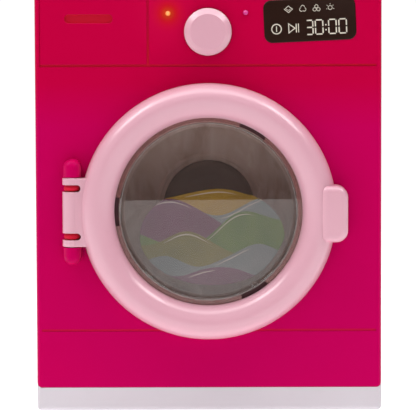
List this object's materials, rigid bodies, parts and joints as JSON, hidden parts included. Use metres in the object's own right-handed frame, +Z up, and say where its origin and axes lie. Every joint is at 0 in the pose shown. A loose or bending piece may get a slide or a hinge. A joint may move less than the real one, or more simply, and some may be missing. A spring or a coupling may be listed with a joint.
{
  "type": "toy washing machine",
  "caption": "Toy front-loading washing machine with a hinged round door, geared turning drum, press-and-turn knob, sliding drawer, lamps, display panel and battery hatch.",
  "frame": {"origin": "middle of the base's underside", "axes": "+Z up, the front with the door faces -Y, +X to the right as seen from the front"},
  "size_m": [0.2, 0.1384, 0.264],
  "materials": {
    "cabinet_crimson": "gloss moulded",
    "door_maroon": "satin moulded",
    "door_pink": "gloss moulded",
    "base_grey": "semi-gloss moulded",
    "drum_grey": "satin moulded",
    "hub_dark": "satin moulded",
    "window_smoke": "clear smoky",
    "print_film": "printed clear film",
    "display_black": "gloss",
    "lamp_orange": "lit lens",
    "lamp_pink": "clear lens",
    "nylon": "natural nylon",
    "steel": "zinc plated",
    "brass": "turned",
    "board_green": "solder resist",
    "black_plastic": "matt moulded",
    "cell_wrap": "printed sleeve"
  },
  "bodies": {
    "cabinet": {"base_plinth": "base_grey", "top_cover": "base_grey", "front_shell": "cabinet_crimson", "rear_shell": "cabinet_crimson", "shell_screws": "steel", "base_screws": "steel", "inner_tub": "drum_grey", "tub_screws": "steel", "drum_bush": "brass", "idler_axle": "steel", "motor": "steel", "motor_cradle": "nylon", "gear_plate": "nylon", "gear_plate_screws": "steel", "motor_screws": "steel", "control_board": "board_green", "sound_chip": "black_plastic", "board_screws": "steel", "push_switch": "black_plastic", "knob_spring": "steel", "lamp_left": "lamp_orange", "lamp_right": "lamp_pink", "display_panel": "display_black", "drawer_housing": "drum_grey", "loudspeaker": "black_plastic", "speaker_screws": "steel", "switch_body": "black_plastic", "battery_cells": "cell_wrap", "battery_contacts": "steel"},
    "door": {"door_front_ring": "door_pink", "door_back_ring": "door_maroon", "door_window": "window_smoke", "door_print_film": "print_film", "door_handle": "door_pink", "door_screws": "steel"},
    "drum_unit": {"drum": "drum_grey", "drum_hub_cap": "hub_dark", "drum_shaft": "steel", "shaft_clip": "steel", "drum_gear": "nylon"},
    "idler": {"idler_gear": "nylon"},
    "motor_rotor": {"motor_pinion": "brass"},
    "knob_stem": {"knob_plunger": "nylon"},
    "knob": {"knob_cap": "door_pink"},
    "drawer": {"drawer_front": "cabinet_crimson", "drawer_tray": "base_grey"},
    "power_slider": {"switch_slider": "black_plastic"},
    "battery_hatch": {"battery_cover": "cabinet_crimson", "battery_cover_screw": "steel"}
  },
  "joints": [
    {"name": "door_hinge", "type": "hinge", "parent": "cabinet", "child": "door", "pos_m": [-0.0785, -0.066, 0.116], "axis": [0, 0, -1], "range_deg": [0, 110]},
    {"name": "drum_spin", "type": "hinge", "parent": "cabinet", "child": "drum_unit", "pos_m": [0, 0, 0.116], "axis": [0, 1, 0], "continuous": true},
    {"name": "idler_spin", "type": "hinge", "parent": "cabinet", "child": "idler", "pos_m": [0.0144, 0.004, 0.09106], "axis": [0, 1, 0], "continuous": true},
    {"name": "motor_spin", "type": "hinge", "parent": "cabinet", "child": "motor_rotor", "pos_m": [0.0244, 0.008, 0.07374], "axis": [0, 1, 0], "continuous": true},
    {"name": "knob_press", "type": "slide", "parent": "cabinet", "child": "knob_stem", "axis": [0, 1, 0], "range_m": [0, 0.0016], "stiffness_N_per_m": 200, "springref_m": -0.003, "deforming": ["knob_spring"]},
    {"name": "knob_turn", "type": "hinge", "parent": "knob_stem", "child": "knob", "pos_m": [0, -0.064, 0.2194], "axis": [0, 1, 0], "continuous": true},
    {"name": "drawer_slide", "type": "slide", "parent": "cabinet", "child": "drawer", "axis": [0, -1, 0], "range_m": [0, 0.035]},
    {"name": "power_slide", "type": "slide", "parent": "cabinet", "child": "power_slider", "axis": [1, 0, 0], "range_m": [0, 0.005]},
    {"name": "battery_hatch_lift", "type": "slide", "parent": "cabinet", "child": "battery_hatch", "axis": [0, 1, 0], "range_m": [0, 0.02]}
  ],
  "couplings": [
    {"joint": "idler_spin", "follows": "drum_spin", "ratio": -5},
    {"joint": "motor_spin", "follows": "drum_spin", "ratio": 20}
  ]
}
